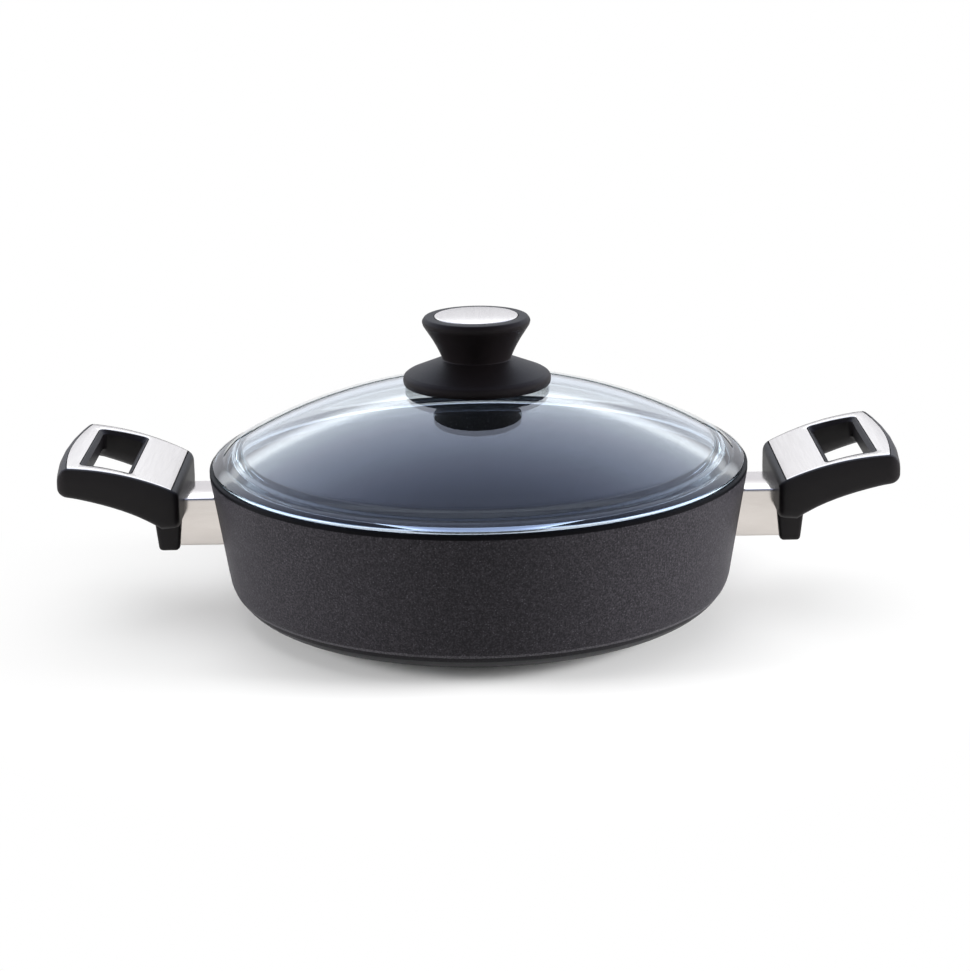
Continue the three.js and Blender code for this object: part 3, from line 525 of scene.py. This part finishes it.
# Grips: a loft of closed sections along X, with the plate's recess, the finger window and the root socket
gripSizes = {
    "inner": 158.6, "halfInner": 41.2, "halfOuter": 48.2, "noseStart": 214.5, "crest": 226.7, "crestHeight": 92.6,
    "archRadius": 147, "sweep": ((168, 55.4), (182, 67.1), (214.5, 75.5)), "noseReach": 6.55, "noseMiddle": 81.6,
    "noseNarrow": 4, "noseBowLoss": 0.2, "noseOnset": 0.995, "noseDegrees": (18, 30, 42, 54, 64, 73, 80, 86),
    "endRound": 2.9, "sideRound": 4, "rootEdge": 2.6, "topEdge": 1.7, "leastTop": 0.2, "edgeShare": 0.3,
    "underEdge": (7, 4.5), "underBlend": 16, "leastUnder": 0.15, "underGap": 0.5, "rootInset": 0.4,
    "rootStations": (158.6, 158.7, 159, 159.5, 160.2), "neckStations": (164.7, 168, 171.2, 174.4),
    "plateFrom": 161.5, "plateTo": 215.2, "plateBow": 4.2, "plateBorder": 1.8, "recess": 1.5,
    "beforeWindow": 178.8, "windowFrom": 183.1, "windowTo": 209.6, "afterWindow": 212.4, "windowSteps": 5,
    "windowHalf": (36.8, 37.2), "windowMargin": 2, "windowCorner": 2.4, "lean": 2.3,
    "land": 0.5, "collar": 2.0, "collarDrop": 2.2, "straight": 10.5, "hollow": 3.7,
    "tab": (159.6, 174.7, 21.55, 38.2),  # from, to, half width, bottom
    "tabTop": 58, "tabTaper": 0.72, "tabEdge": 2}


def archAt(x):
    g = gripSizes
    return g["crestHeight"] - g["archRadius"] + math.sqrt(g["archRadius"] ** 2 - (g["crest"] - x) ** 2)


def underAt(x):
    # quadratic sweep from the root's flat underside out to the nose
    (x0, z0), (x1, z1), (x2, z2) = gripSizes["sweep"]
    if x <= x0:
        return z0
    a, b, c = x0 - 2 * x1 + x2, 2 * (x1 - x0), x0 - x
    t = (-b + math.sqrt(b * b - 4 * a * c)) / (2 * a)
    return (1 - t) ** 2 * z0 + 2 * t * (1 - t) * z1 + t * t * z2


def halfWidthAt(x):
    g = gripSizes
    share = (min(x, g["noseStart"]) - g["inner"]) / (g["noseStart"] - g["inner"])
    return g["halfInner"] + (g["halfOuter"] - g["halfInner"]) * share


def windowHalfAt(x):
    g = gripSizes
    share = (x - g["windowFrom"]) / (g["windowTo"] - g["windowFrom"])
    return g["windowHalf"][0] + (g["windowHalf"][1] - g["windowHalf"][0]) * min(max(share, 0), 1)


# rows of a section, counted from the middle of the top round to the middle of the underside
windowRow, plateRow, topEdgeRow, sideRow, underWindowRow, lastRow = 2, 4, 7, 8, 13, 14


def fallBack(radius, into):
    # how far a rounded edge lies back at this distance in from its end
    return radius - math.sqrt(radius ** 2 - max(0, radius - into) ** 2)


def gripSection(x, bow, lean, hollow, squeeze):
    g = gripSizes
    into = x - g["inner"]
    half = halfWidthAt(x) - g["noseNarrow"] * (1 - squeeze) - fallBack(g["sideRound"], into)
    drop = fallBack(g["endRound"], into)
    bottom = underAt(min(x, g["noseStart"])) + fallBack(g["rootEdge"], into)
    bottom = g["noseMiddle"] + (bottom - g["noseMiddle"]) * squeeze if squeeze < 1 else bottom
    rootUnder, outerUnder = g["underEdge"]
    under = rootUnder + (outerUnder - rootUnder) * min(into / g["underBlend"], 1)
    edge, under = g["topEdge"] * max(squeeze, g["leastTop"]), under * max(squeeze, g["leastUnder"])
    turned = g["edgeShare"] * edge
    plate = half - g["plateBorder"]
    window = min(windowHalfAt(x), plate - g["windowMargin"])
    rows = [(0, None), (window / 2, None), (window, None), ((window + plate) / 2, None), (plate, None),
            (half - edge, None), (half - turned, -turned), (half, -edge), (half, None)]
    for degrees in (0, 30, 60, 90):
        a = math.radians(degrees)
        rows.append((half - under * (1 - math.cos(a)), bottom + under * (1 - math.sin(a))))
    raised = bottom + g["hollow"] * hollow  # the underside is hollowed round the window
    rows += [(min(window, half - under - g["underGap"]), raised), (0, raised)]
    section = []
    for row, (y, level) in enumerate(rows):
        out = x + bow * (1 - (y / half) ** 2) + (lean if row >= underWindowRow else 0)
        if row <= topEdgeRow:
            top = archAt(out) - drop
            if squeeze < 1:
                top = g["noseMiddle"] + (top - g["noseMiddle"]) * squeeze
            level = top + (level or 0)
        elif row == sideRow:  # halfway down the side
            level = section[topEdgeRow].z * 0.5 + (bottom + under) * 0.5
        section.append(Vector((out, y, level)))
    return section


def gripColumns():
    # each column is a section's place along X, bow, lean, hollow and squeeze
    g = gripSizes
    columns = [(x, 0, 0, 0, 1) for x in (*g["rootStations"], g["plateFrom"], *g["neckStations"])]
    columns.append((g["beforeWindow"], 0, g["lean"] / 2, 0.5, 1))
    steps = g["windowSteps"]
    for i in range(steps + 1):
        columns.append((g["windowFrom"] + (g["windowTo"] - g["windowFrom"]) * i / steps, 0, g["lean"], 1, 1))
    columns += [(g["afterWindow"], g["plateBow"] / 2, g["lean"] / 2, 0.5, 1),
                (g["plateTo"], g["plateBow"], 0, 0, g["noseOnset"])]
    for degrees in g["noseDegrees"]:
        a = math.radians(degrees)
        columns.append((g["noseStart"] + g["noseReach"] * math.sin(a), g["plateBow"] - g["noseBowLoss"], 0, 0,
                        math.cos(a)))
    return columns


def freshVerts(bm, before):
    return [vert for vert in bm.verts if vert not in before]


def extrudeLoop(bm, edges):
    # the next ring of a wall, and the edges that close it
    before = set(bm.verts)
    bmesh.ops.extrude_edge_only(bm, edges=edges)
    ring = freshVerts(bm, before)
    inRing = set(ring)
    return ring, [e for e in bm.edges if all(v in inRing for v in e.verts)]


def makeGrip(side):
    g = gripSizes
    columns = gripColumns()
    ringSize = 2 * lastRow
    bm = bmesh.new()
    rowOf = bm.verts.layers.int.new("row")
    columnOf = bm.verts.layers.int.new("column")
    ring = bmesh.ops.create_circle(bm, cap_ends=False, segments=ringSize, radius=1)["verts"]
    for place, vert in enumerate(ring):
        vert[rowOf] = place
    edges = bm.edges[:]
    firstEdges = edges

    def half(vert):
        return min(vert[rowOf], ringSize - vert[rowOf])

    for number, column in enumerate(columns):
        if number:
            ring, edges = extrudeLoop(bm, edges)
        section = gripSection(*column)
        for vert in ring:
            spot = section[half(vert)]
            vert.co = spot if vert[rowOf] <= lastRow else spot * Vector((1, -1, 1))
            vert[columnOf] = number
    rootFace = bmesh.ops.edgeloop_fill(bm, edges=firstEdges)["faces"]
    bmesh.ops.inset_region(bm, faces=rootFace, thickness=g["rootInset"], use_boundary=True, use_even_offset=True)
    bmesh.ops.edgeloop_fill(bm, edges=edges)
    xs = [column[0] for column in columns]
    fromColumn, toColumn = xs.index(g["windowFrom"]), xs.index(g["windowTo"])
    plateFrom, plateTo = xs.index(g["plateFrom"]), xs.index(g["plateTo"])

    def patch(rows, columnRange):
        return [f for f in bm.faces if all(rows[0] <= half(v) <= rows[1]
                and columnRange[0] <= v[columnOf] <= columnRange[1] for v in f.verts)]

    window = (fromColumn, toColumn)
    holes = patch((0, windowRow), window) + patch((underWindowRow, lastRow), window)
    bmesh.ops.delete(bm, geom=holes, context="FACES")
    # recess for the plate
    before, lid = set(bm.verts), patch((0, plateRow), (plateFrom, plateTo))
    bmesh.ops.extrude_face_region(bm, geom=lid)
    bmesh.ops.translate(bm, vec=(0, 0, -g["recess"]), verts=freshVerts(bm, before))
    bmesh.ops.delete(bm, geom=[f for f in lid if f.is_valid], context="FACES")
    # collar and wall of the finger window
    loop = [e for e in bm.edges if e.is_boundary and all(half(v) <= windowRow for v in e.verts)]
    foot = [e for e in bm.edges if e.is_boundary and all(half(v) >= underWindowRow for v in e.verts)]
    middle = (g["windowFrom"] + g["windowTo"]) / 2
    across, along = (g["windowTo"] - g["windowFrom"]) / 2, sum(g["windowHalf"]) / 2
    lean = g["lean"] / (archAt(middle) - underAt(middle))
    for inset, drop in ((g["land"], 0), (g["collar"], g["collarDrop"]), (0, g["straight"] - g["collarDrop"])):
        ring, loop = extrudeLoop(bm, loop)
        bmesh.ops.scale(bm, vec=((across - inset) / across, (along - inset) / along, 1),
                        space=Matrix.Translation((-middle, 0, 0)), verts=ring)
        bmesh.ops.translate(bm, vec=(drop * lean, 0, -drop), verts=ring)
        across, along, middle = across - inset, along - inset, middle + drop * lean
    bmesh.ops.bridge_loops(bm, edges=loop + foot)
    corners = {(row, column) for row in (windowRow, underWindowRow) for column in (fromColumn, toColumn)}
    chains = [e for e in bm.edges if all((half(v), v[columnOf]) in corners for v in e.verts)]
    bmesh.ops.recalc_face_normals(bm, faces=bm.faces)
    bmesh.ops.bevel(bm, geom=chains, offset=g["windowCorner"], offset_type="OFFSET", segments=4, profile=0.5,
                    affect="EDGES", material=-1, clamp_overlap=True)
    # tab under the root, which holds the sleeve's end
    start, end, width, bottom = g["tab"]
    tab = bmesh.ops.create_cube(bm, size=1)["verts"]
    bmesh.ops.scale(bm, vec=(end - start, 2 * width, g["tabTop"] - bottom), verts=tab)
    bmesh.ops.translate(bm, vec=((start + end) / 2, 0, (g["tabTop"] + bottom) / 2), verts=tab)
    bmesh.ops.scale(bm, vec=(g["tabTaper"], 1, 1), space=Matrix.Translation((-(start + end) / 2, 0, 0)),
                    verts=[v for v in tab if v.co.z < bottom + 1])
    bmesh.ops.bevel(bm, geom=list({e for v in tab for e in v.link_edges}), offset=g["tabEdge"],
                    offset_type="OFFSET", segments=4, profile=0.5, affect="EDGES", material=-1)
    bmesh.ops.recalc_face_normals(bm, faces=bm.faces)
    placeSide(bm, side)
    finishPiece(side + "_arched_grip", bm, [blackMoulding], "pot", [side + "_grip"])


for side in ("right", "left"):
    makeGrip(side)

# Steel plates let into the grips
plateSizes = {
    "from": 162.2, "to": 214.9, "bow": 4.2, "border": 2.0, "thickness": 1.2, "windowFrom": 182.6,
    "windowTo": 210.1, "windowHalf": (37.3, 37.7), "corner": 2.9, "edge": 0.12, "columns": (7, 8, 2),
    "rows": (2, 8, 2), "postShare": 0.9, "postLean": 0.01, "postReach": 39, "postSlack": 0.1,
    "cornerAngle": 0.6, "rimAngle": 0.9, "mergeDistance": 0.01}


def spread(stops, counts):
    # even steps between stops
    marks = [stops[0]]
    for start, end, count in zip(stops, stops[1:], counts):
        marks += [start + (end - start) * (i + 1) / count for i in range(count)]
    return marks


def makePlate(side):
    p = plateSizes
    xs = spread((p["from"], p["windowFrom"], p["windowTo"], p["to"]), p["columns"])
    first, last = p["columns"][0], p["columns"][0] + p["columns"][1]
    low, high = p["rows"][0], p["rows"][0] + p["rows"][1]
    bm = bmesh.new()
    bmesh.ops.create_grid(bm, x_segments=len(xs) - 1, y_segments=sum(p["rows"]), size=1)
    hole = []
    for face in bm.faces:
        middle = face.calc_center_median()
        column = (middle.x + 1) / 2 * (len(xs) - 1)
        row = (middle.y + 1) / 2 * sum(p["rows"])
        if first < column < last and low < row < high:
            hole.append(face)
    bmesh.ops.delete(bm, geom=hole, context="FACES")
    for vert in bm.verts:
        column = round((vert.co.x + 1) / 2 * (len(xs) - 1))
        row = round((vert.co.y + 1) / 2 * sum(p["rows"]))
        x = xs[column]
        half = halfWidthAt(x) - p["border"]
        share = min(max((x - p["windowFrom"]) / (p["windowTo"] - p["windowFrom"]), 0), 1)
        window = p["windowHalf"][0] + (p["windowHalf"][1] - p["windowHalf"][0]) * share
        y = spread((-half, -window, window, half), p["rows"])[row]
        bow = p["bow"] * max(0, (x - p["windowTo"]) / (p["to"] - p["windowTo"])) * (1 - (y / half) ** 2)
        vert.co = (x + bow, y, archAt(x + bow))
    drawn = bmesh.ops.extrude_face_region(bm, geom=bm.faces[:], use_keep_orig=True)["geom"]
    bmesh.ops.translate(bm, vec=(0, 0, -p["thickness"]),
                        verts=[v for v in drawn if isinstance(v, bmesh.types.BMVert)])
    bmesh.ops.recalc_face_normals(bm, faces=bm.faces)
    # upright edges at the window's corners
    nearest, farthest = p["windowFrom"] - p["postSlack"], p["windowTo"] + p["postSlack"]
    posts = []
    for edge in bm.edges:
        one, two = [v.co for v in edge.verts]
        upright = abs(one.z - two.z) > p["postShare"] * p["thickness"] and abs(one.x - two.x) < p["postLean"]
        atWindow = abs(one.y) < p["postReach"] and nearest < one.x < farthest
        if upright and atWindow and edge.calc_face_angle(0) > p["cornerAngle"]:
            posts.append(edge)
    bmesh.ops.bevel(bm, geom=posts, offset=p["corner"], offset_type="OFFSET", segments=5, profile=0.5,
                    affect="EDGES", material=-1, clamp_overlap=True)
    bmesh.ops.remove_doubles(bm, verts=bm.verts, dist=p["mergeDistance"])
    rims = [e for e in bm.edges if e.calc_face_angle(0) > p["rimAngle"]]
    bmesh.ops.bevel(bm, geom=rims, offset=p["edge"], offset_type="OFFSET", segments=2, profile=0.5,
                    affect="EDGES", material=-1, clamp_overlap=True)
    placeSide(bm, side)
    finishPiece(side + "_inlaid_plate", bm, [satinSteel], "pot", [side + "_plate"])


for side in ("right", "left"):
    makePlate(side)

# Hidden fixings keep their solids and get real finishes
fixingFinishes = {"right_spring_washer": platedSteel, "left_spring_washer": platedSteel,
                  "right_handle_screw": platedSteel, "left_handle_screw": platedSteel,
                  "knob_thread_insert": turnedBrass, "knob_upper_gasket": greySilicone,
                  "knob_lower_gasket": greySilicone, "knob_washer": platedSteel, "knob_screw": platedSteel}
for name, material in fixingFinishes.items():
    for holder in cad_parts[name].material_slots:
        holder.material = material
print("fixings finished:", len(fixingFinishes))

# Floor, light and camera
stageSizes = {
    "floorRadius": 1.9, "floorColour": "#f6f6f6", "shadowFrom": 0.11, "shadowTo": 0.32,
    "fill": 0.16, "skyLevel": 4.1, "wallSink": 0.4, "aim": (0, 0, 0.05),
    "gap": (-0.03, 0.024, 0.02),  # middle, half height, level
    "frontStart": (-0.1, -0.4), "frontHeights": (0.35, 0.65), "front": (2.4, 0.4),  # levels below and above
    "sky": (  # sine of the elevation, colour
        (-1, "#848484"), (0.32, "#838489"), (0.385, "#ccd0d6"), (0.43, "#dadee3"), (0.47, "#adb3bc"),
        (0.6, "#a0a6b5"), (0.75, "#9199ad"), (0.88, "#777e95"), (1, "#53596b"))}


def seenRays(tree):
    # 1 on rays that see a surface straight, mirrored or through glass, 0 on those that only carry light
    rays = addNode(tree, "ShaderNodeLightPath")
    seen = addNode(tree, "ShaderNodeMath", {"operation": "ADD", "use_clamp": True},
                   {0: rays.outputs["Is Camera Ray"], 1: rays.outputs["Is Glossy Ray"]})
    seenThrough = addNode(tree, "ShaderNodeMath", {"operation": "ADD", "use_clamp": True},
                          {0: seen.outputs[0], 1: rays.outputs["Is Transmission Ray"]})
    return rays, seenThrough


def makeFloor():
    s = stageSizes
    material, tree = newMaterial("matt_paper")
    rays, seenThrough = seenRays(tree)
    place = addNode(tree, "ShaderNodeTexCoord")
    away = addNode(tree, "ShaderNodeVectorMath", {"operation": "LENGTH"}, {0: place.outputs["Object"]})
    far = addNode(tree, "ShaderNodeMapRange",
                  {"interpolation_type": "SMOOTHSTEP", "From Min": s["shadowFrom"], "From Max": s["shadowTo"]},
                  {"Value": away.outputs["Value"]})
    share = addNode(tree, "ShaderNodeMath", {"operation": "MULTIPLY"},
                    {0: far.outputs["Result"], 1: seenThrough.outputs[0]})
    paper = addNode(tree, "ShaderNodeBsdfDiffuse", {"Color": linear(s["floorColour"])})
    white = addNode(tree, "ShaderNodeEmission", {"Color": (1, 1, 1, 1), "Strength": 1.0})
    mix = addNode(tree, "ShaderNodeMixShader", {},
                  {0: share.outputs[0], 1: paper.outputs[0], 2: white.outputs[0]})
    addNode(tree, "ShaderNodeOutputMaterial", {}, {"Surface": mix.outputs[0]})
    bm = bmesh.new()
    bmesh.ops.create_circle(bm, cap_ends=True, segments=64, radius=s["floorRadius"])
    mesh = bpy.data.meshes.new("floor")
    bm.to_mesh(mesh)
    bm.free()
    mesh.materials.append(material)
    floor = bpy.data.objects.new("floor", mesh)
    bpy.context.collection.objects.link(floor)


def makeSurround():
    s = stageSizes
    scene = bpy.context.scene
    world = bpy.data.worlds.new("studio_surround")
    world.use_nodes = True
    scene.world = world
    tree = world.node_tree
    tree.nodes.clear()
    rays, seenThrough = seenRays(tree)
    place = addNode(tree, "ShaderNodeTexCoord")
    heading = addNode(tree, "ShaderNodeSeparateXYZ", {}, {"Vector": place.outputs["Generated"]})
    # the surround's bands lie on a flat wall behind the pot, so they sink to both sides
    across = addNode(tree, "ShaderNodeMath", {"operation": "MULTIPLY"},
                     {0: heading.outputs["X"], 1: heading.outputs["X"]})
    height = addNode(tree, "ShaderNodeMath", {"operation": "MULTIPLY_ADD", 1: s["wallSink"]},
                     {0: across.outputs[0], 2: heading.outputs["Z"]})
    rise = addNode(tree, "ShaderNodeMapRange", {"From Min": -1.0, "From Max": 1.0},
                   {"Value": height.outputs[0]})
    sky = addNode(tree, "ShaderNodeValToRGB", {}, {"Fac": rise.outputs["Result"]})
    while len(sky.color_ramp.elements) < len(s["sky"]):
        sky.color_ramp.elements.new(0.5)
    for stop, (sine, colour) in zip(sky.color_ramp.elements, s["sky"]):
        stop.position = (sine + 1) / 2
        stop.color = linear(colour)
    backdrop = addNode(tree, "ShaderNodeMix", {"data_type": "RGBA", 7: (1, 1, 1, 1)},
                       {0: rays.outputs["Is Camera Ray"], 6: sky.outputs[0]})
    # a dark gap behind the paper's far edge draws the glass's outline
    gap = addNode(tree, "ShaderNodeMath", {"operation": "COMPARE", 1: s["gap"][0], 2: s["gap"][1]},
                  {0: heading.outputs["Z"]})
    gapLevel = addNode(tree, "ShaderNodeMapRange", {"To Min": 1.0, "To Max": s["gap"][2]},
                       {"Value": gap.outputs[0]})
    # the camera's side is dimmer, most of all high up
    front = addNode(tree, "ShaderNodeMapRange",
                    {"From Min": s["frontStart"][0], "From Max": s["frontStart"][1]},
                    {"Value": heading.outputs["Y"]})
    frontLevel = addNode(tree, "ShaderNodeMapRange",
                         {"From Min": s["frontHeights"][0], "From Max": s["frontHeights"][1],
                          "To Min": s["front"][0], "To Max": s["front"][1]},
                         {"Value": heading.outputs["Z"]})
    skyLevel = addNode(tree, "ShaderNodeMix", {"data_type": "FLOAT", 2: s["skyLevel"]},
                       {0: front.outputs["Result"], 3: frontLevel.outputs["Result"]})
    level = addNode(tree, "ShaderNodeMath", {"operation": "MULTIPLY"},
                    {0: skyLevel.outputs[0], 1: gapLevel.outputs["Result"]})
    shown = addNode(tree, "ShaderNodeMix", {"data_type": "FLOAT", 3: 1.0},
                    {0: rays.outputs["Is Camera Ray"], 2: level.outputs[0]})
    fill = addNode(tree, "ShaderNodeBackground", {"Color": (1, 1, 1, 1), "Strength": s["fill"]})
    white = addNode(tree, "ShaderNodeBackground", {},
                    {"Color": backdrop.outputs[2], "Strength": shown.outputs[0]})
    mix = addNode(tree, "ShaderNodeMixShader", {},
                  {0: seenThrough.outputs[0], 1: fill.outputs[0], 2: white.outputs[0]})
    addNode(tree, "ShaderNodeOutputWorld", {}, {"Surface": mix.outputs[0]})


softboxes = [
    {"name": "overhead_softbox", "place": (-0.3, 0.3, 2.1), "size": (1.8, 1.8), "watts": 18},
    {"name": "left_softbox", "place": (-1.9, -0.1, 0.42), "size": (1.0, 0.8), "watts": 67},
    {"name": "right_softbox", "place": (1.9, -0.1, 0.42), "size": (1.0, 0.8), "watts": 100}]


def makeLights():
    for box in softboxes:
        lamp = bpy.data.lights.new(box["name"], "AREA")
        lamp.shape = "RECTANGLE"
        lamp.size, lamp.size_y = box["size"]
        lamp.energy = box["watts"]
        holder = bpy.data.objects.new(box["name"], lamp)
        holder.location = box["place"]
        toPot = Vector(stageSizes["aim"]) - holder.location
        holder.rotation_euler = toPot.to_track_quat("-Z", "Y").to_euler()
        holder.visible_glossy = False  # lamps light the surfaces but aren't mirrored in them
        holder.visible_transmission = False
        bpy.context.collection.objects.link(holder)


cameraView = {"place": (0, -1.2515, 0.4250), "pitch": 16.013, "yaw": 0.152, "roll": 0.926, "lens": 88.86}


def makeCamera():
    c = cameraView
    pitch, yaw, roll = [math.radians(c[name]) for name in ("pitch", "yaw", "roll")]
    forward = Vector((math.sin(yaw) * math.cos(pitch), math.cos(yaw) * math.cos(pitch), -math.sin(pitch)))
    right = Vector((math.cos(yaw), -math.sin(yaw), 0))
    up = right.cross(forward)
    axisX = right * math.cos(roll) - up * math.sin(roll)
    axisY = right * math.sin(roll) + up * math.cos(roll)
    turn = Matrix((axisX, axisY, -forward)).transposed()
    lens = bpy.data.cameras.new("photo_camera")
    lens.sensor_fit = "HORIZONTAL"
    lens.sensor_width = 36
    lens.lens = c["lens"]
    camera = bpy.data.objects.new("photo_camera", lens)
    camera.matrix_world = Matrix.Translation(c["place"]) @ turn.to_4x4()
    bpy.context.collection.objects.link(camera)
    bpy.context.scene.camera = camera


makeFloor()
makeSurround()
makeLights()
makeCamera()
bpy.context.scene.view_settings.view_transform = "Standard"
print("stage set")
